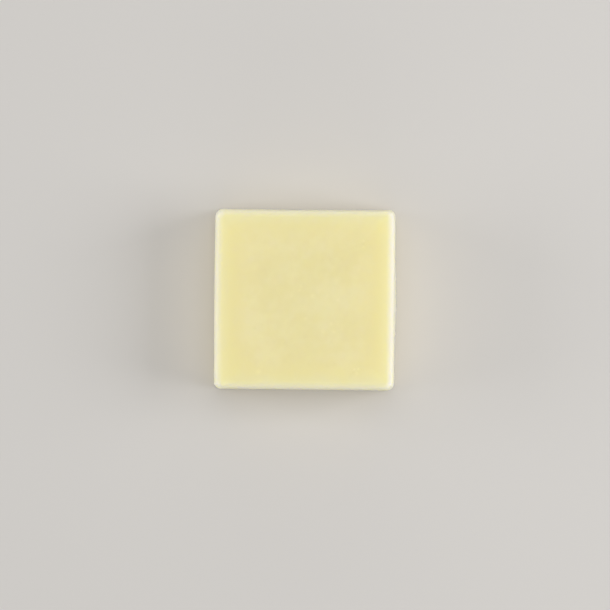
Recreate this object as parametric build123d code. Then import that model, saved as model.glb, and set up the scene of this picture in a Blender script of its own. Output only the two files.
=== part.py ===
from build123d import *
import os

# Square conditioner bar, poured into a soft open mould and turned out with its moulded face up.
# It is one cast solid. The walls lean in towards the moulded face, so that the bar leaves the mould.
# The soft walls of the mould spread a little under the pour, so the sides are not quite straight.
# Millimetres, origin at the centre of the base, +Z up through the moulded face, +X to the right.

# Base, which was the mouth of the mould
BASE_WIDTH = 60.25  # along X, over the bows of the left and right sides
BASE_DEPTH_LEFT = 60.05  # along Y, between the two left corners
BASE_DEPTH_RIGHT = 60.25  # along Y, between the two right corners

# Height and the lean of the walls
THICKNESS = 25.0
WALL_LEAN_DEGREES = 3.0  # from upright

# How far the middle of each side stands out of the line between its corners
LEFT_BOW = 0.16
RIGHT_BOW = 0.10
FRONT_BOW = 0.05
BACK_BOW = -0.12  # the back side is slightly hollow

# Rounding of the mould
TOP_EDGE_RADIUS = 2.0
TOP_FACE_CORNER_RADIUS = 0.3  # left on the flat top face inside its rounded edge
BACK_LEFT_EXTRA_RADIUS = 0.4  # the back left corner is rounder than the other three
BASE_EDGE_RADIUS = 0.5


def bowed_side(start, end, bow):
    """Arc from corner to corner, anticlockwise round the bar, whose middle stands out by the bow."""
    along = (end - start).normalized()
    outward = Vector(along.Y, -along.X)
    return ThreePointArc(start, (start + end) / 2 + outward * bow, end)


def base_outline():
    """Four-sided face of the base, with one arc for each side and square corners."""
    left = -BASE_WIDTH / 2 + LEFT_BOW
    right = BASE_WIDTH / 2 - RIGHT_BOW
    front_left = Vector(left, -BASE_DEPTH_LEFT / 2)
    front_right = Vector(right, -BASE_DEPTH_RIGHT / 2)
    back_right = Vector(right, BASE_DEPTH_RIGHT / 2)
    back_left = Vector(left, BASE_DEPTH_LEFT / 2)
    return make_face(
        [
            bowed_side(front_left, front_right, FRONT_BOW),
            bowed_side(front_right, back_right, RIGHT_BOW),
            bowed_side(back_right, back_left, BACK_BOW),
            bowed_side(back_left, front_left, LEFT_BOW),
        ]
    )


def is_upright(edge):
    """True for an edge that climbs from the base to the top."""
    return abs(edge.start_point().Z - edge.end_point().Z) > THICKNESS / 2


def is_back_left(edge):
    """True for an edge in the back left quarter of the bar."""
    return edge.center().X < 0 < edge.center().Y


def conditioner_bar():
    """The whole bar: a block drawn up from its base with leaning walls, then its rounded corners and edges."""
    bar = extrude(base_outline(), THICKNESS, taper=WALL_LEAN_DEGREES)
    corner_radius = TOP_EDGE_RADIUS + TOP_FACE_CORNER_RADIUS
    square_corners = bar.edges().filter_by(is_upright)
    bar = fillet(square_corners.filter_by(is_back_left), corner_radius + BACK_LEFT_EXTRA_RADIUS)
    square_corners = bar.edges().filter_by(is_upright).filter_by(lambda edge: not is_back_left(edge))
    bar = fillet(square_corners, corner_radius)
    bar = fillet(bar.faces().sort_by(Axis.Z)[-1].edges(), TOP_EDGE_RADIUS)
    return fillet(bar.faces().sort_by(Axis.Z)[0].edges(), BASE_EDGE_RADIUS)


os.makedirs("parts", exist_ok=True)
export_step(conditioner_bar(), "parts/conditioner_bar.step")
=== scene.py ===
"""Looks of a square cast conditioner bar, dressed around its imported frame.

The bar is one closed surface in three parts. A grid makes the moulded face, a profile carried round the
outline makes the rounded upper edge, the leaning wall and the rounded base edge, and a coarser grid
makes the base. Lengths are millimetres, except where the text says metres. The mesh is in metres.
"""

import logging
import math
from dataclasses import dataclass, field
from enum import Enum

import bpy
import numpy as np
from mathutils import Euler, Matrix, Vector


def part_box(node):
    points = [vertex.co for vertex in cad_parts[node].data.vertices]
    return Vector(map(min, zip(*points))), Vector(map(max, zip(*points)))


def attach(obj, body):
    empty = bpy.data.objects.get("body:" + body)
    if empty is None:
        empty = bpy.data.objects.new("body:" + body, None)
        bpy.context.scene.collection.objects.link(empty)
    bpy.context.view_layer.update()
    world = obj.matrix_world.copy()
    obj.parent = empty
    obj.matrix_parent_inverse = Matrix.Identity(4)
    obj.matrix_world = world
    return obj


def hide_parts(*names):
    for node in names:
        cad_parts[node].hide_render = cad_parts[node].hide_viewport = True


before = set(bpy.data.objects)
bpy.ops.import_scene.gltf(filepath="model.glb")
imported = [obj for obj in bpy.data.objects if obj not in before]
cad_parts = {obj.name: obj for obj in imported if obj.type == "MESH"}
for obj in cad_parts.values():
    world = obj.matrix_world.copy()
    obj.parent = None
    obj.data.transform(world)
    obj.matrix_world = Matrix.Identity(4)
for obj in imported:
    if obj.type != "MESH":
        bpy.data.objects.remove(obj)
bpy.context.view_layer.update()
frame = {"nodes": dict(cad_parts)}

MM = 0.001  # metres in a millimetre
WHITE = (1.0, 1.0, 1.0, 1.0)

# The standard sRGB curve: a straight part up to a knee, then a power
SRGB_KNEE = 0.04045
SRGB_SLOPE = 12.92
SRGB_OFFSET = 0.055
SRGB_POWER = 2.4

log = logging.getLogger("conditioner_bar")


def linear_from_hex(code: str) -> tuple[float, float, float, float]:
    """Turns an sRGB hex colour into linear colour by the standard sRGB curve.

    Args:
        code: Colour written as "#RRGGBB".

    Returns:
        Linear red, green and blue, and an alpha of 1.
    """
    srgb = np.array([int(code[i : i + 2], 16) for i in (1, 3, 5)]) / 255
    curved = ((srgb + SRGB_OFFSET) / (1 + SRGB_OFFSET)) ** SRGB_POWER
    linear = np.where(srgb <= SRGB_KNEE, srgb / SRGB_SLOPE, curved)
    return (float(linear[0]), float(linear[1]), float(linear[2]), 1.0)


def cycles_per_metre(feature: float) -> float:
    """Scale of a noise whose patches measure the feature size, given in millimetres."""
    return 1 / (feature * MM)


def smooth_step(start: float, end: float, value: np.ndarray) -> np.ndarray:
    """Goes from 0 at start to 1 at end along the curve 3t^2 - 2t^3, where t is the share of the way.

    Args:
        start: Value that gives 0.
        end: Value that gives 1.
        value: Values to convert.

    Returns:
        The shares, as an array of the same shape.
    """
    share = np.clip((value - start) / (end - start), 0, 1)
    return share * share * (3 - 2 * share)


def bell(distance: np.ndarray, reach: float) -> np.ndarray:
    """Bell of height 1: e to the minus square of the distance over its reach."""
    return np.exp(-((distance / reach) ** 2))


def add_node(
    tree: bpy.types.NodeTree,
    kind: str,
    settings: dict[str, object] | None = None,
    inputs: dict[str | int, object] | None = None,
) -> bpy.types.Node:
    """Adds a node with its settings, and links or sets its inputs.

    Args:
        tree: Node tree that takes the node.
        kind: Name of the node's type.
        settings: Properties of the node, by name.
        inputs: Sockets by name or index, each with a value to set or another socket to link from.

    Returns:
        The new node.
    """
    node = tree.nodes.new(kind)
    for name, value in (settings or {}).items():
        setattr(node, name, value)
    for name, value in (inputs or {}).items():
        if isinstance(value, bpy.types.NodeSocket):
            tree.links.new(value, node.inputs[name])
        else:
            node.inputs[name].default_value = value
    return node


class MarkForm(Enum):
    """Form of a small casting mark on the moulded face."""

    BUMP = "bump"
    PIT = "pit"
    RING = "ring"


@dataclass(frozen=True)
class CastingMark:
    """A small mark that a bubble or a speck on the mould left on the moulded face."""

    x: float
    y: float
    radius: float
    height: float
    form: MarkForm
    tone: float  # how far it turns to the light colour, a painted highlight, or to the dull one, a painted shade, if it is negative
    ring_band: float = 0.4  # half width of a ring's crest, as a share of its radius
    ring_dip: float = 0.8  # depth of its hollow middle, as a share of its height
    dip_reach: float = 0.7  # reach of that hollow, as a share of its radius

    def distance(self, points: np.ndarray) -> np.ndarray:
        """Level distance of points from the middle of the mark."""
        return np.hypot(points[:, 0] - self.x, points[:, 1] - self.y)

    def relief(self, points: np.ndarray) -> np.ndarray:
        """Height of the mark over the face.

        A bump is a bell and a pit is a bell turned down. A ring is a bell over the distance from its
        circle, with a lower bell in its middle turned down.

        Args:
            points: Points of the face.

        Returns:
            Heights in millimetres.
        """
        distance = self.distance(points)
        if self.form is MarkForm.BUMP:
            return self.height * bell(distance, self.radius)
        if self.form is MarkForm.PIT:
            return -self.height * bell(distance, self.radius)
        crest = bell(distance - self.radius, self.ring_band * self.radius)
        return self.height * (crest - self.ring_dip * bell(distance, self.dip_reach * self.radius))

    def tint(self, points: np.ndarray) -> np.ndarray:
        """Painted highlight where the tone is positive, painted shade where it is negative, that the mark
        adds to the face, as a bell over its radius.
        """
        return self.tone * bell(self.distance(points), self.radius)


@dataclass(frozen=True)
class Flash:
    """A stretch of flash on the right rim of the base, where the pour met the mouth of the mould."""

    y: float
    length: float  # half length along the rim
    reach: float  # outwards from the rim
    height: float = 1.2  # up the wall


@dataclass(frozen=True)
class PaleEdge:
    """Where the skin turns pale, by distance down the section from the border of the moulded face. The
    pale edge is partly the skin's own and partly painted light, palest on the lit right side; the cream
    wall and the warm rim are painted light.
    """

    pale_start: float = -0.9  # on the face, just inside its border
    pale_full: float = 3.0
    pale_left: float = 0.62  # strength at the left
    pale_right: float = 1.0  # at the right, which is the palest
    pale_across: float = 0.31  # at the right, which is the palest, painted light from the lit right side
    pale_corner: float = 0.25  # more of it at the corners, painted light where light comes in from three sides
    pale_foot: float = 0.08  # a faint foot that runs on into the face
    foot_place: float = -1.1
    foot_reach: float = 1.4
    cream_start: float = 0.8
    cream_full: float = 3.4
    cream_fade: float = 9.0  # further down the wall, over which a little of it is lost
    cream_low: float = 0.92  # share that is left on the lower wall
    cream_lead: float = 0.4  # by how much sooner it comes at the front and the back
    rim_reach: float = 2.5  # height over the base at which the warm rim has fallen to about a third

    def paleness_and_painted_light(self, distance: np.ndarray, direction: np.ndarray) -> np.ndarray:
        """Share of the pale edge colour, partly painted light, which rises smoothly over the rounded
        upper edge and stays.

        It is a smooth step times the strength of the side, and a low bell on the face just inside. The
        strength of a corner is added by a share that is 1 in its middle and 0 on the straight sides.

        Args:
            distance: Distance along the section from the border of the face, negative on the face.
            direction: Level outward direction of the nearest side, with X and Y in the last axis.

        Returns:
            Shares from 0 to 1.
        """
        sideways = direction[..., 0] ** 2
        across = direction[..., 1] ** 2
        corner = 4 * sideways * across
        strength = np.where(direction[..., 0] > 0, self.pale_right, self.pale_left) * sideways
        strength = strength + self.pale_across * across + self.pale_corner * corner
        foot = self.pale_foot * bell(distance - self.foot_place, self.foot_reach)
        return np.clip(strength * smooth_step(self.pale_start, self.pale_full, distance) + foot, 0, 1)

    def painted_wall_light(self, distance: np.ndarray, direction: np.ndarray) -> np.ndarray:
        """Share of the cream wall colour, painted light that brightens the wall, which rises smoothly to
        the wall and falls a little down it.

        Args:
            distance: Distance along the section from the border of the face.
            direction: Level outward direction of the side, with X and Y in the last axis.

        Returns:
            Shares from 0 to 1.
        """
        faded = smooth_step(self.cream_full, self.cream_full + self.cream_fade, distance)
        lost = (1 - self.cream_low) * faded
        reached = distance + self.cream_lead * direction[..., 1] ** 2
        return smooth_step(self.cream_start, self.cream_full, reached) - lost

    def painted_warm_rim(self, height: np.ndarray) -> np.ndarray:
        """Share of the thin, warm rim, a painted tint against the bluish shade by the floor, which falls
        exponentially with the height over the base.
        """
        return np.exp(-height / self.rim_reach)


@dataclass(frozen=True)
class CastWax:
    """Cast blend of fatty alcohols and cocoa butter, poured warm into a smooth soft mould.

    It sets to a satin skin with faint clouds where the fats crystallise. Light enters it, travels some
    millimetres and comes out again, blue the least far, so the face is a warm pale yellow. The edges,
    where light comes in from two sides, are nearly white, and that paleness is partly painted light.
    """

    face: str = "#E9E0AB"
    cloud: str = "#ECE4B4"
    # edge: partly the skin's own pale edge and partly painted light, strongest on the lit right side
    edge: str = "#E5DFDF"
    # wall: painted light, a brighter cream that stands in for light falling on the walls
    wall: str = "#FCF0CC"
    # rim: painted warm tint low on the wall, against the bluish shade that the floor gives there
    rim: str = "#FBEFC4"
    # light and dull: painted highlight on bumps and rings, painted shade in pits
    light: str = "#F5ECBC"
    dull: str = "#D9CE98"
    roughness_low: float = 0.44
    roughness_high: float = 0.56
    ior: float = 1.45
    specular: float = 0.2  # a fatty skin is finely rough and throws less light back than its IOR says
    spread: float = 12.0  # how far red light travels inside
    spread_shares: tuple[float, float, float] = (1.0, 0.95, 0.5)  # of it, for red, green and blue
    rim_spread: float = 0.12  # share of the spread that is left at the thin rim of the base
    cloud_size: float = 10.0
    cloud_layers: float = 2.0
    cloud_range: tuple[float, float] = (0.4, 0.85)  # of the noise, from clear to clouded
    fleck_size: float = 2.5
    fleck_layers: float = 1.0
    fleck_weight: float = 0.25
    gloss_range: tuple[float, float] = (0.3, 0.7)  # of the cloud noise, from low to high roughness
    peel_size: float = 1.6  # the slight orange peel of the mould's surface
    peel_depth: float = 0.005
    grain_size: float = 0.35
    grain_layers: float = 2.0
    grain_depth: float = 0.004

    def material(self) -> bpy.types.Material:
        """Builds the material: clouded colour, pale edges partly of painted light, painted light on the
        walls and the rim, marks with painted highlight and shade, uneven gloss and a fine skin.

        The colour is the face colour mixed with the cloud colour by two noises and the mesh's attribute
        of clouding, then with the edge, wall, rim, light and dull colours by its attributes of paleness,
        creaminess, warmth, lightness and dullness. The gloss follows the clouds, and two bumps, one on
        the other, give the orange peel and the fine grain. Light travels less far in the thin rim.

        Returns:
            The new material.
        """
        material = bpy.data.materials.new("cast_conditioner_wax")
        material.use_nodes = True
        tree = material.node_tree
        tree.nodes.clear()
        place = add_node(tree, "ShaderNodeTexCoord").outputs["Object"]

        clouds = add_node(
            tree,
            "ShaderNodeTexNoise",
            inputs={
                "Vector": place,
                "Scale": cycles_per_metre(self.cloud_size),
                "Detail": self.cloud_layers,
            },
        )
        flecks = add_node(
            tree,
            "ShaderNodeTexNoise",
            inputs={
                "Vector": place,
                "Scale": cycles_per_metre(self.fleck_size),
                "Detail": self.fleck_layers,
            },
        )
        mottle = add_node(
            tree,
            "ShaderNodeMath",
            {"operation": "MULTIPLY_ADD"},
            {0: flecks.outputs["Fac"], 1: self.fleck_weight, 2: clouds.outputs["Fac"]},
        )
        cloudiness = add_node(
            tree,
            "ShaderNodeMapRange",
            {"interpolation_type": "SMOOTHSTEP"},
            {
                "Value": mottle.outputs[0],
                "From Min": self.cloud_range[0],
                "From Max": self.cloud_range[1],
            },
        )
        clouding = add_node(tree, "ShaderNodeAttribute", {"attribute_name": "clouding"})
        cloud_share = add_node(
            tree,
            "ShaderNodeMath",
            {"operation": "MULTIPLY"},
            {0: cloudiness.outputs[0], 1: clouding.outputs["Fac"]},
        )
        body = add_node(
            tree,
            "ShaderNodeMix",
            {"data_type": "RGBA"},
            {0: cloud_share.outputs[0], 6: linear_from_hex(self.face), 7: linear_from_hex(self.cloud)},
        )
        colour = body.outputs[2]
        # the edge tint is partly painted light; the wall, rim, light and dull tints are painted light and
        # shade
        tints = {
            "paleness_and_painted_light": self.edge,
            "painted_wall_light": self.wall,
            "painted_warm_rim": self.rim,
            "painted_mark_highlight": self.light,
            "painted_mark_shade": self.dull,
        }
        for name, tint in tints.items():
            share = add_node(tree, "ShaderNodeAttribute", {"attribute_name": name})
            mixed = add_node(
                tree,
                "ShaderNodeMix",
                {"data_type": "RGBA"},
                {0: share.outputs["Fac"], 6: colour, 7: linear_from_hex(tint)},
            )
            colour = mixed.outputs[2]

        gloss = add_node(
            tree,
            "ShaderNodeMapRange",
            inputs={
                "Value": clouds.outputs["Fac"],
                "From Min": self.gloss_range[0],
                "From Max": self.gloss_range[1],
                "To Min": self.roughness_low,
                "To Max": self.roughness_high,
            },
        )
        peel_noise = add_node(
            tree,
            "ShaderNodeTexNoise",
            inputs={"Vector": place, "Scale": cycles_per_metre(self.peel_size), "Detail": 0.0},
        )
        peel = add_node(
            tree,
            "ShaderNodeBump",
            inputs={"Height": peel_noise.outputs["Fac"], "Distance": self.peel_depth * MM},
        )
        grain_noise = add_node(
            tree,
            "ShaderNodeTexNoise",
            inputs={
                "Vector": place,
                "Scale": cycles_per_metre(self.grain_size),
                "Detail": self.grain_layers,
            },
        )
        skin = add_node(
            tree,
            "ShaderNodeBump",
            inputs={
                "Height": grain_noise.outputs["Fac"],
                "Distance": self.grain_depth * MM,
                "Normal": peel.outputs["Normal"],
            },
        )

        rim_share = add_node(tree, "ShaderNodeAttribute", {"attribute_name": "painted_warm_rim"})
        spread = add_node(
            tree,
            "ShaderNodeMapRange",
            inputs={
                "Value": rim_share.outputs["Fac"],
                "To Min": self.spread * MM,
                "To Max": self.spread * self.rim_spread * MM,
            },
        )
        shader = add_node(
            tree,
            "ShaderNodeBsdfPrincipled",
            {"subsurface_method": "RANDOM_WALK"},
            {
                "Base Color": colour,
                "Roughness": gloss.outputs[0],
                "IOR": self.ior,
                "Specular IOR Level": self.specular,
                "Normal": skin.outputs["Normal"],
                "Subsurface Weight": 1.0,
                "Subsurface Radius": self.spread_shares,
                "Subsurface Scale": spread.outputs[0],
            },
        )
        add_node(tree, "ShaderNodeOutputMaterial", inputs={"Surface": shader.outputs[0]})
        return material


@dataclass(frozen=True)
class MattPaper:
    """Plain matt paper, which scatters light evenly and shows no gloss."""

    colour: str = "#D0CDC9"

    def material(self) -> bpy.types.Material:
        """Builds the material, an even diffuse colour.

        Returns:
            The new material.
        """
        material = bpy.data.materials.new("matt_paper")
        material.use_nodes = True
        tree = material.node_tree
        tree.nodes.clear()
        matt = add_node(tree, "ShaderNodeBsdfDiffuse", inputs={"Color": linear_from_hex(self.colour)})
        add_node(tree, "ShaderNodeOutputMaterial", inputs={"Surface": matt.outputs[0]})
        return material


@dataclass(frozen=True)
class Section:
    """Section of the side of the bar by row, from the border of the moulded face to that of the base."""

    inset: np.ndarray  # distance inside the sharp outline of the base
    cut: np.ndarray  # by how much the corner radii are smaller than on the wall
    height: np.ndarray
    tilt: np.ndarray  # of the outward direction above level

    def down(self) -> np.ndarray:
        """Distance along the section from the border of the moulded face, as the sum of its chords."""
        chords = np.hypot(np.diff(self.inset), np.diff(self.height))
        return np.concatenate([[0], np.cumsum(chords)])


@dataclass(frozen=True)
class Patch:
    """A stretch of the surface: its points, and the shares of the skin's tints at each of them, most of
    which paint light and shade.
    """

    points: np.ndarray
    clouding: np.ndarray
    # the pale edge share is partly painted light, and the four after it are painted light and shade
    paleness_and_painted_light: np.ndarray
    painted_wall_light: np.ndarray
    painted_warm_rim: np.ndarray
    painted_mark_highlight: np.ndarray
    painted_mark_shade: np.ndarray


@dataclass
class ConditionerBar:
    """The cast bar: a square block with leaning, slightly bowed walls and rounded corners and edges."""

    node: str = "conditioner_bar"
    wall_lean: float = math.radians(3.0)
    depth_left: float = 60.05
    depth_right: float = 60.25
    left_bow: float = 0.16
    right_bow: float = 0.10
    front_bow: float = 0.05
    back_bow: float = -0.12
    top_edge_radius: float = 2.0
    base_edge_radius: float = 0.5
    corner_radius: float = 2.3
    back_left_radius: float = 2.7
    columns: int = 208  # faces along one side of the outline
    edge_rows: int = 12
    wall_rows: int = 36
    wall_crowding: float = 1.4  # above 1, the rows of the wall come closer together towards the base
    base_rows: int = 3
    base_step: int = 4  # columns of the wall to one cell of the base, as strip_faces needs
    base_border: float = 2.0  # width of the plain strip round the base
    cloud_fade: tuple[float, float] = (-11.0, -3.0)  # from the face's border, where clouds fade outwards
    cloud_low: float = 0.45  # share of them that is left at the front and the back, and none at the sides
    wave_count: int = 16
    wave_lengths: tuple[float, float] = (7.0, 26.0)
    wave_depth: float = 0.012  # unevenness of the soft mould
    wave_seed: int = 11
    wave_fade: float = 1.0  # height over the base within which the waves fade out
    flash_turn: float = 8.0  # the higher, the sooner flash ends at the corners of the right side
    pale_edge: PaleEdge = PaleEdge()

    height: float = field(init=False)
    right_line: float = field(init=False)  # distance of the straight right line from the middle
    left_line: float = field(init=False)
    half_width: float = field(init=False)
    half_depth: float = field(init=False)
    section: Section = field(init=False)

    marks: tuple[CastingMark, ...] = (
        CastingMark(-14.7, -23.6, 0.75, 0.05, MarkForm.RING, 0.4),
        CastingMark(16.4, -22.5, 0.38, 0.09, MarkForm.BUMP, 0.7),
        CastingMark(17.7, -22.5, 0.38, 0.09, MarkForm.BUMP, 0.7),
        CastingMark(17.3, -23.9, 0.4, 0.04, MarkForm.BUMP, 0.35),
        CastingMark(16.0, -23.7, 0.5, 0.03, MarkForm.PIT, -0.2),
        CastingMark(15.2, -24.5, 0.5, 0.03, MarkForm.PIT, -0.15),
        CastingMark(19.0, 19.1, 0.35, 0.05, MarkForm.BUMP, 0.6),
        CastingMark(18.9, 17.2, 0.35, 0.05, MarkForm.BUMP, 0.5),
        CastingMark(18.8, 18.2, 0.4, 0.03, MarkForm.PIT, -0.12),
        CastingMark(16.6, 17.5, 0.5, 0.03, MarkForm.PIT, -0.12),
        CastingMark(-1.2, 4.2, 0.5, 0.03, MarkForm.RING, 0.3),
        CastingMark(-1.8, 2.9, 0.5, 0.03, MarkForm.RING, 0.3),
        CastingMark(2.6, 1.1, 0.8, 0.03, MarkForm.RING, 0.35),
        CastingMark(4.9, 2.9, 0.5, 0.03, MarkForm.BUMP, 0.2),
        CastingMark(-4.2, 1.0, 0.5, 0.03, MarkForm.BUMP, 0.2),
        CastingMark(7.4, 1.3, 0.5, 0.03, MarkForm.BUMP, 0.2),
        CastingMark(10.9, -0.1, 0.5, 0.03, MarkForm.BUMP, 0.35),
        CastingMark(0.4, -6.3, 0.5, 0.03, MarkForm.BUMP, 0.35),
        CastingMark(8.8, -7.8, 0.5, 0.03, MarkForm.BUMP, 0.35),
        CastingMark(6.1, -10.4, 0.6, 0.03, MarkForm.BUMP, 0.35),
        CastingMark(9.5, -10.4, 0.6, 0.03, MarkForm.BUMP, 0.35),
        CastingMark(12.3, -9.6, 0.5, 0.03, MarkForm.BUMP, 0.15),
        CastingMark(-4.0, 14.9, 0.6, 0.03, MarkForm.PIT, -0.14),
        CastingMark(0.4, -12.1, 0.6, 0.03, MarkForm.PIT, -0.14),
        CastingMark(-16.0, -9.4, 0.6, 0.03, MarkForm.PIT, -0.14),
        CastingMark(-6.0, -14.3, 0.6, 0.03, MarkForm.PIT, -0.14),
        CastingMark(5.8, 13.0, 0.6, 0.03, MarkForm.PIT, -0.1),
        CastingMark(8.3, 13.2, 0.6, 0.03, MarkForm.PIT, -0.1),
        CastingMark(11.8, 13.1, 0.6, 0.03, MarkForm.PIT, -0.1),
        CastingMark(6.2, 9.5, 0.6, 0.03, MarkForm.PIT, -0.1),
        CastingMark(13.4, 9.7, 0.6, 0.03, MarkForm.PIT, -0.1),
        CastingMark(-13.2, 9.6, 0.9, 0.02, MarkForm.PIT, -0.1),
        CastingMark(-12.2, -3.7, 1.2, 0.02, MarkForm.PIT, -0.1),
        CastingMark(-8.2, -8.2, 1.3, 0.02, MarkForm.PIT, -0.1),
        CastingMark(-13.5, -8.4, 0.6, 0.03, MarkForm.PIT, -0.1),
        CastingMark(-9.9, -13.8, 0.6, 0.03, MarkForm.PIT, -0.12),
        CastingMark(-4.3, -18.0, 0.9, 0.02, MarkForm.PIT, -0.1),
        CastingMark(-6.2, -19.8, 0.8, 0.02, MarkForm.PIT, -0.1),
        CastingMark(1.6, -21.0, 0.6, 0.03, MarkForm.PIT, -0.12),
        CastingMark(7.6, -21.3, 0.8, 0.02, MarkForm.PIT, -0.12),
        CastingMark(9.9, -21.0, 0.8, 0.02, MarkForm.PIT, -0.12),
        CastingMark(8.9, -13.7, 0.6, 0.03, MarkForm.PIT, -0.12),
        CastingMark(-9.6, 5.7, 0.7, 0.02, MarkForm.BUMP, 0.15),
        CastingMark(10.2, 6.3, 0.9, 0.02, MarkForm.BUMP, 0.15),
        CastingMark(17.7, 9.9, 0.7, 0.02, MarkForm.BUMP, 0.15),
        CastingMark(18.0, 13.8, 0.9, 0.02, MarkForm.BUMP, 0.15),
    )
    flashes: tuple[Flash, ...] = (
        Flash(0.5, 10.0, 0.33, 3.0),
        Flash(-6.5, 4.5, 0.13, 2.5),
        Flash(7.0, 0.4, 0.16),
        Flash(3.6, 0.5, 0.10),
        Flash(2.3, 0.7, 0.12),
        Flash(-0.4, 0.6, 0.08),
        Flash(-1.2, 0.45, 0.10),
        Flash(-3.3, 0.5, 0.12),
        Flash(-11.2, 0.45, 0.34),
    )

    def __post_init__(self) -> None:
        """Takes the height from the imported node, and the outline's straight lines from its width."""
        low, high = (np.array(corner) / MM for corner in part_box(self.node))
        self.height = float(high[2])
        # The rounded base edge of a leaning wall ends this far inside the sharp edge that it replaces.
        lost = self.base_edge_radius * (math.tan(self.wall_lean) + 1 / math.cos(self.wall_lean) - 1)
        self.right_line = float(high[0]) + lost - self.right_bow
        self.left_line = -float(low[0]) + lost - self.left_bow
        self.half_width = (self.right_line + self.left_line) / 2
        self.half_depth = (self.depth_left + self.depth_right) / 4
        self.section = self.side_section()

    def side_section(self) -> Section:
        """Works out the section of the side.

        The two rounded edges are arcs that touch the leaning wall. An arc's point lies at its centre plus
        the radius times the cosine of the tilt outwards and the sine of the tilt upwards. On the wall the
        inset is the height times the tangent of the lean.

        Returns:
            The section, row by row.
        """
        lean = self.wall_lean
        tangent, cosine = math.tan(lean), math.cos(lean)
        top, base = self.top_edge_radius, self.base_edge_radius
        top_centre = self.height - top
        top_tilt = np.linspace(math.pi / 2, lean, self.edge_rows + 1)
        top_inset = top_centre * tangent + top / cosine - top * np.cos(top_tilt)
        top_height = top_centre + top * np.sin(top_tilt)
        base_tilt = np.linspace(lean, -math.pi / 2, self.base_rows + 1)
        base_inset = base * (tangent + 1 / cosine) - base * np.cos(base_tilt)
        base_height = base + base * np.sin(base_tilt)
        share = np.linspace(0, 1, self.wall_rows + 1)[1:-1]
        down = 1 - (1 - share) ** self.wall_crowding
        wall_height = top_height[-1] + (base_height[0] - top_height[-1]) * down
        inset = np.concatenate([top_inset, wall_height * tangent, base_inset])
        height = np.concatenate([top_height, wall_height, base_height])
        tilt = np.concatenate([top_tilt, np.full_like(wall_height, lean), base_tilt])
        return Section(inset, inset - height * tangent, height, tilt)

    def outline(
        self, turn: np.ndarray, inset: np.ndarray | float, cut: np.ndarray | float
    ) -> tuple[np.ndarray, np.ndarray]:
        """Outline of one level section of the bar, as points and level outward directions.

        A side runs from the middle of one corner to the middle of the next. Its straight part is in
        proportion to the distance from the middle of the side, and near its ends the point goes round
        the corner's arc, up to half a right angle. The bows and the difference in depth are then added.

        Args:
            turn: Place along the outline, anticlockwise from 0 in the front right corner to 4 back there.
            inset: How far the section's straight lines lie inside those of the base.
            cut: How much smaller the corner radii are than on the wall.

        Returns:
            Points and unit directions, each with X and Y in the last axis.
        """
        normals = np.array([(1, 0), (0, 1), (-1, 0), (0, -1)], float)
        lines = np.array([self.right_line, self.half_depth, self.left_line, self.half_depth])
        plain = self.corner_radius
        radii = np.array([plain, plain, self.back_left_radius, plain])
        corner_share = self.corner_radius / self.half_width
        side = np.floor(turn).astype(int) % 4
        along = 2 * (turn - np.floor(turn)) - 1
        ahead = along > 0
        neighbour = (side + np.where(ahead, 1, 3)) % 4
        radius = radii[(side + ahead) % 4] - cut
        straight = np.clip(np.abs(along) / (1 - corner_share), 0, 1)
        angle = math.pi / 4 * np.clip((np.abs(along) - 1 + corner_share) / corner_share, 0, 1)
        out = lines[side] - inset - radius * (1 - np.cos(angle))
        sign = np.where(ahead, 1.0, -1.0)
        across = sign * ((lines[neighbour] - inset - radius) * straight + radius * np.sin(angle))
        normal = normals[side]
        tangent = normals[(side + 1) % 4]
        points = out[..., None] * normal + across[..., None] * tangent
        directions = np.cos(angle)[..., None] * normal + (sign * np.sin(angle))[..., None] * tangent
        return self.bowed(points), directions

    def bowed(self, points: np.ndarray) -> np.ndarray:
        """Adds the bows of the sides and the difference between the left and the right depth.

        A bow is full in the middle of its side and falls with the square of the distance from there to
        nothing at the corners. The depth grows in proportion to X.

        Args:
            points: Points of a straight-sided outline.

        Returns:
            The points of the bar's own outline.
        """
        x, y = points[..., 0], points[..., 1]
        x_share, y_share = x / self.half_width, y / self.half_depth
        x_bow = np.where(x > 0, self.right_bow, -self.left_bow) * (1 - y_share**2) * x_share**2
        y_bow = np.where(y > 0, self.back_bow, -self.front_bow) * (1 - x_share**2) * y_share**2
        growth = (self.depth_right - self.depth_left) / (self.depth_right + self.depth_left)
        return np.stack([x + x_bow, y * (1 + growth * x_share) + y_bow], -1)

    @staticmethod
    def square_grid(cells: int) -> tuple[np.ndarray, np.ndarray, np.ndarray]:
        """A square grid told as rings round its middle.

        The ring of a grid point is its larger distance from the two middle lines, as a share of the
        half side. Its turn is the place along that ring, by the share of the smaller distance.

        Args:
            cells: Cells along one side of the grid, an even number.

        Returns:
            Ring from 0 to 1 and turn from 0 to 4 of each point, and the indices of the outer points.
        """
        u, v = np.meshgrid(np.linspace(-1, 1, cells + 1), np.linspace(-1, 1, cells + 1))
        ring = np.maximum(np.abs(u), np.abs(v))
        size = np.where(ring == 0, 1, ring)
        level = np.abs(u) >= np.abs(v)
        turn = np.select(
            [level & (u >= 0), ~level & (v > 0), level],
            [(v / size + 1) / 2, 1 + (1 - u / size) / 2, 2 + (1 - v / size) / 2],
            3 + (u / size + 1) / 2,
        )
        index = np.arange((cells + 1) ** 2).reshape(cells + 1, cells + 1)
        border = np.concatenate([index[:-1, -1], index[-1, :0:-1], index[:0:-1, 0], index[0, :-1]])
        return ring.ravel(), turn.ravel(), border

    @staticmethod
    def grid_faces(cells: int) -> np.ndarray:
        """Four corners of each cell of a square grid, anticlockwise seen from above.

        Args:
            cells: Cells along one side of the grid.

        Returns:
            Indices of the corners, with one row for each cell.
        """
        index = np.arange((cells + 1) ** 2).reshape(cells + 1, cells + 1)
        corners = (index[:-1, :-1], index[:-1, 1:], index[1:, 1:], index[1:, :-1])
        return np.stack(corners, -1).reshape(-1, 4)

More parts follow.
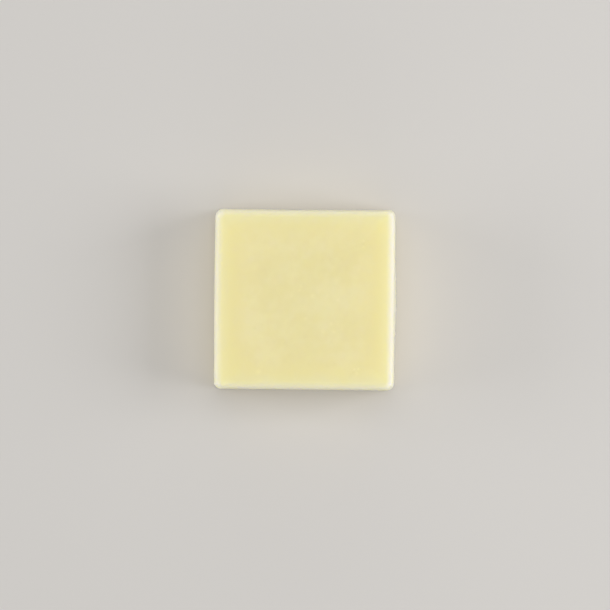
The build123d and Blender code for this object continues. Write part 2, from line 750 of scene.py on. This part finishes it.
    @staticmethod
    def side_faces(rows: np.ndarray) -> np.ndarray:
        """Four corners of each cell between neighbouring rows round the bar, facing outwards."""
        following = np.roll(rows, -1, axis=1)
        return np.stack([rows[:-1], rows[1:], following[1:], following[:-1]], -1).reshape(-1, 4)

    def strip_faces(self, fine: np.ndarray, coarse: np.ndarray) -> np.ndarray:
        """Triangles of the strip between the fine border of the side and the coarse border of the base.

        To each stretch of the coarse border belong four stretches of the fine one, and five triangles.

        Args:
            fine: Indices round the lower border of the side.
            coarse: Indices round the border of the base grid.

        Returns:
            Three corners of each triangle, facing down.
        """
        a, b, c, d = fine.reshape(-1, self.base_step).T
        e = np.roll(a, -1)
        near, far = coarse, np.roll(coarse, -1)
        triangles = [(a, near, b), (b, near, c), (c, near, far), (c, far, d), (d, far, e)]
        return np.concatenate([np.column_stack(triangle) for triangle in triangles])

    def waviness(self, points: np.ndarray) -> np.ndarray:
        """Slight unevenness of the cast surface, a sum of cosine waves with seeded directions and phases.

        Args:
            points: Points of the surface, with X, Y and Z in the last axis.

        Returns:
            Distance in millimetres by which each point lies further out.
        """
        random = np.random.default_rng(self.wave_seed)
        directions = random.normal(size=(self.wave_count, 3))
        directions /= np.linalg.norm(directions, axis=1, keepdims=True)
        lengths = random.uniform(*self.wave_lengths, self.wave_count)
        phases = random.uniform(0, 2 * math.pi, self.wave_count)
        waves = np.cos(points @ (directions * (2 * math.pi / lengths)[:, None]).T + phases)
        return self.wave_depth * math.sqrt(self.wave_count) * (waves * lengths / lengths.max()).mean(-1)

    def flash_relief(self, points: np.ndarray, directions: np.ndarray) -> np.ndarray:
        """How far flash stands out from the right rim of the base.

        Each stretch of flash is a bell along Y times a bell of the height over the base. It fades round
        the corners with a power of the outward direction's part along X.

        Args:
            points: Points of the side.
            directions: Level outward directions there.

        Returns:
            Distances outwards in millimetres.
        """
        y, z = points[..., 1], points[..., 2]
        stretches = [
            flash.reach * bell(y - flash.y, flash.length) * bell(z, flash.height)
            for flash in self.flashes
        ]
        return sum(stretches) * np.clip(directions[..., 0], 0, 1) ** self.flash_turn

    def moulded_face(self) -> tuple[Patch, np.ndarray]:
        """Works out the moulded face, rings of the outline at its border, drawn in to the middle.

        The waves of the mould and the casting marks are added to its height.

        Returns:
            The face, and the indices of its border points in turn.
        """
        ring, turn, border = self.square_grid(self.columns)
        rim, direction = self.outline(turn, self.section.inset[0], self.section.cut[0])
        points = np.column_stack([rim * ring[:, None], np.full(len(ring), self.height)])
        marks = sum(mark.relief(points) for mark in self.marks)
        tone = sum(mark.tint(points) for mark in self.marks)
        points[:, 2] += self.waviness(points) + marks
        inside = (ring - 1) * self.half_width
        left_over = self.cloud_low * direction[:, 1] ** 2
        clouding = 1 - (1 - left_over) * smooth_step(*self.cloud_fade, inside)
        # pale edge share, partly painted light
        paleness_and_painted_light = self.pale_edge.paleness_and_painted_light(inside, direction)
        none = np.zeros(len(ring))
        # the marks' tones paint highlight on bumps and rings and shade in pits
        painted_mark_highlight, painted_mark_shade = np.clip(tone, 0, 1), np.clip(-tone, 0, 1)
        return Patch(points, clouding, paleness_and_painted_light, none, none, painted_mark_highlight, painted_mark_shade), border

    def sides(self) -> Patch:
        """Works out the sides: the section carried round the outline, row by row.

        The waves of the mould and the flash are added along the outward direction. The first row is
        left out, because it is the border of the moulded face.

        Returns:
            The sides, with a whole round of points to each row.
        """
        section = self.section
        turn = np.arange(4 * self.columns) / self.columns
        shape = (len(section.height), len(turn))
        level, direction = self.outline(
            np.broadcast_to(turn, shape), section.inset[:, None], section.cut[:, None]
        )
        height = np.broadcast_to(section.height[:, None], shape)
        tilt = np.broadcast_to(section.tilt[:, None], shape)
        points = np.concatenate([level, height[..., None]], -1)
        outward = np.concatenate([direction * np.cos(tilt)[..., None], np.sin(tilt)[..., None]], -1)
        waves = self.waviness(points) * np.clip(height / self.wave_fade, 0, 1)
        flash = self.flash_relief(points, direction)
        points = points + waves[..., None] * outward
        points[..., :2] += flash[..., None] * direction
        down = section.down()
        # pale edge partly painted light; the cream wall and the warm rim are painted light
        paleness_and_painted_light = self.pale_edge.paleness_and_painted_light(down[:, None], direction)[1:].ravel()
        painted_wall_light = self.pale_edge.painted_wall_light(down[:, None], direction)[1:].ravel()
        painted_warm_rim = np.repeat(self.pale_edge.painted_warm_rim(section.height)[1:], len(turn))
        clouding = self.cloud_low * direction[1:, :, 1].ravel() ** 2
        none = np.zeros(len(paleness_and_painted_light))
        return Patch(points[1:].reshape(-1, 3), clouding, paleness_and_painted_light, painted_wall_light, painted_warm_rim, none, none)

    def base(self) -> tuple[Patch, np.ndarray]:
        """Works out the flat base, rings of the outline at its border, drawn in from a plain strip.

        Returns:
            The base without that strip, and the indices of its border points in turn.
        """
        ring, turn, border = self.square_grid(self.columns // self.base_step)
        rim, _ = self.outline(turn, self.section.inset[-1], self.section.cut[-1])
        shrink = 1 - self.base_border / self.half_width
        none = np.zeros(len(ring))
        points = np.column_stack([rim * (ring * shrink)[:, None], none])
        # the base takes the whole painted warm rim tint
        return Patch(points, none, none, none, np.ones(len(ring)), none, none), border

    def build(self) -> bpy.types.Object:
        """Joins the moulded face, the sides and the base to one closed mesh and makes an object of it.

        Returns:
            The finished object, not yet dressed.
        """
        face, face_border = self.moulded_face()
        sides = self.sides()
        base, base_border = self.base()
        patches = (face, sides, base)
        side_start = len(face.points)
        base_start = side_start + len(sides.points)
        side_rows = side_start + np.arange(len(sides.points)).reshape(-1, 4 * self.columns)
        rows = np.concatenate([face_border[None, :], side_rows])
        faces = self.grid_faces(self.columns).tolist()
        faces += self.side_faces(rows).tolist()
        faces += self.strip_faces(rows[-1], base_border + base_start).tolist()
        faces += (self.grid_faces(self.columns // self.base_step)[:, ::-1] + base_start).tolist()

        mesh = bpy.data.meshes.new("cast_bar")
        mesh.from_pydata((np.concatenate([patch.points for patch in patches]) * MM).tolist(), [], faces)
        mesh.shade_smooth()
        for name in ("clouding", "paleness_and_painted_light", "painted_wall_light", "painted_warm_rim", "painted_mark_highlight", "painted_mark_shade"):
            values = np.concatenate([getattr(patch, name) for patch in patches])
            attribute = mesh.attributes.new(name, "FLOAT", "POINT")
            attribute.data.foreach_set("value", values.astype(np.float32))
        piece = bpy.data.objects.new("cast_bar", mesh)
        bpy.context.scene.collection.objects.link(piece)
        return piece

    def dress(self, piece: bpy.types.Object, finish: CastWax) -> None:
        """Gives the piece its finish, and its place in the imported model.

        Args:
            piece: Object that build made.
            finish: Finish of the whole bar.
        """
        piece.data.materials.append(finish.material())
        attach(piece, "root")
        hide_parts(self.node)


@dataclass(frozen=True)
class SoftBox:
    """A large soft lamp that looks at the bar. Its distance and size are in metres."""

    name: str
    bearing: float  # degrees anticlockwise from +X
    elevation: float  # degrees over the floor
    distance: float
    size: float
    level: float  # brightness that it gives a white surface that faces it

    def build(self, target: Vector) -> None:
        """Adds the lamp, whose power is pi squared times the distance squared times the level.

        Args:
            target: Point that the lamp looks at, in metres.
        """
        lamp = bpy.data.lights.new(self.name, "AREA")
        lamp.shape = "SQUARE"
        lamp.size = self.size
        lamp.energy = math.pi**2 * self.distance**2 * self.level
        holder = bpy.data.objects.new(self.name, lamp)
        bearing, elevation = math.radians(self.bearing), math.radians(self.elevation)
        along = math.cos(elevation)
        towards = Vector((math.cos(bearing) * along, math.sin(bearing) * along, math.sin(elevation)))
        holder.location = target + towards * self.distance
        holder.rotation_euler = towards.to_track_quat("Z", "Y").to_euler()
        holder.visible_camera = False
        holder.visible_glossy = False  # the skin mirrors the even sky, and no lamp glares on it
        bpy.context.scene.collection.objects.link(holder)


@dataclass
class Studio:
    """Plain pale floor, soft lamps and an even sky."""

    floor_finish: MattPaper = MattPaper()
    floor_half_side: float = 3.0  # metres
    floor_drop: float = 0.05  # millimetres, so that the floor and the base don't share a plane
    sky_level: float = 0.405
    backdrop_level: float = 0.9  # brightness of the sky where it is seen
    lamps: tuple[SoftBox, ...] = (
        SoftBox("key_right", 2.0, 33.0, 1.0, 0.6, 0.525),
        SoftBox("fill_left", 178.0, 12.0, 1.0, 0.6, 0.48),
        SoftBox("fill_back", 90.0, 8.0, 1.0, 0.6, 0.108),
        SoftBox("fill_front", 270.0, 8.0, 1.0, 0.6, 0.165),
        SoftBox("overhead", 90.0, 80.0, 1.4, 1.0, 0.255),
    )

    def build(self, target: Vector) -> None:
        """Adds the floor, the lamps and the sky, and sets the plain view of colours.

        Args:
            target: Point that the lamps look at, in metres.
        """
        self.add_floor()
        for lamp in self.lamps:
            lamp.build(target)
        self.add_sky()
        bpy.context.scene.view_settings.view_transform = "Standard"

    def add_floor(self) -> None:
        """Adds the floor, a plain matt square just under the base."""
        half, drop = self.floor_half_side, -self.floor_drop * MM
        mesh = bpy.data.meshes.new("studio_floor")
        corners = [(-half, -half, drop), (half, -half, drop), (half, half, drop), (-half, half, drop)]
        mesh.from_pydata(corners, [], [(0, 1, 2, 3)])
        mesh.materials.append(self.floor_finish.material())
        floor = bpy.data.objects.new("studio_floor", mesh)
        bpy.context.scene.collection.objects.link(floor)

    def add_sky(self) -> None:
        """Adds an even white sky, which the camera and reflections see at the backdrop's level."""
        world = bpy.data.worlds.new("studio_sky")
        bpy.context.scene.world = world
        world.use_nodes = True
        tree = world.node_tree
        tree.nodes.clear()
        rays = add_node(tree, "ShaderNodeLightPath").outputs
        direct = add_node(
            tree,
            "ShaderNodeMath",
            {"operation": "MAXIMUM"},
            {0: rays["Is Camera Ray"], 1: rays["Is Glossy Ray"]},
        )
        seen = add_node(
            tree,
            "ShaderNodeMath",
            {"operation": "MAXIMUM"},
            {0: direct.outputs[0], 1: rays["Is Transmission Ray"]},
        )
        strength = add_node(
            tree,
            "ShaderNodeMapRange",
            inputs={"Value": seen.outputs[0], "To Min": self.sky_level, "To Max": self.backdrop_level},
        )
        sky = add_node(
            tree, "ShaderNodeBackground", inputs={"Color": WHITE, "Strength": strength.outputs[0]}
        )
        add_node(tree, "ShaderNodeOutputWorld", inputs={"Surface": sky.outputs[0]})


@dataclass
class ViewFromAbove:
    """Camera straight above the bar, framed as in the photograph."""

    image_side: float = 610.0  # pixels
    pixels_per_mm: float = 3.0  # at the base
    bar_pixel: tuple[float, float] = (304.6, 299.48)  # of the origin, from the upper left corner
    roll: float = math.radians(0.54)  # by which the bar shows turned clockwise
    height: float = 1000.0  # of the camera over the base
    sensor: float = 36.0

    def build(self) -> None:
        """Adds the camera. Its lens is the sensor's width times the height over the field's width."""
        camera = bpy.data.cameras.new("view_from_above")
        camera.sensor_width = self.sensor
        camera.lens = self.sensor * self.height * self.pixels_per_mm / self.image_side
        middle = self.image_side / 2
        right = (self.bar_pixel[0] - middle) / self.pixels_per_mm
        up = (middle - self.bar_pixel[1]) / self.pixels_per_mm
        turn = Euler((0, 0, self.roll))
        place = Vector((-right, -up, self.height)) * MM
        place.rotate(turn)
        holder = bpy.data.objects.new("view_from_above", camera)
        holder.location = place
        holder.rotation_euler = turn
        bpy.context.scene.collection.objects.link(holder)
        bpy.context.scene.camera = holder


def main() -> None:
    """Builds and dresses the bar, then its studio and camera, and logs each piece."""
    logging.basicConfig(level=logging.INFO, format="%(name)s: %(message)s")
    log.info("packed model with the nodes %s", ", ".join(frame["nodes"]))
    bar = ConditionerBar()
    piece = bar.build()
    bar.dress(piece, CastWax())
    triangles = sum(len(polygon.vertices) - 2 for polygon in piece.data.polygons)
    log.info("%s stands for %s with %d triangles", piece.name, bar.node, triangles)
    Studio().build(Vector((0, 0, bar.height / 2 * MM)))
    log.info("studio floor, lamps and sky")
    ViewFromAbove().build()
    log.info("camera from straight above")


if __name__ == "__main__":
    main()
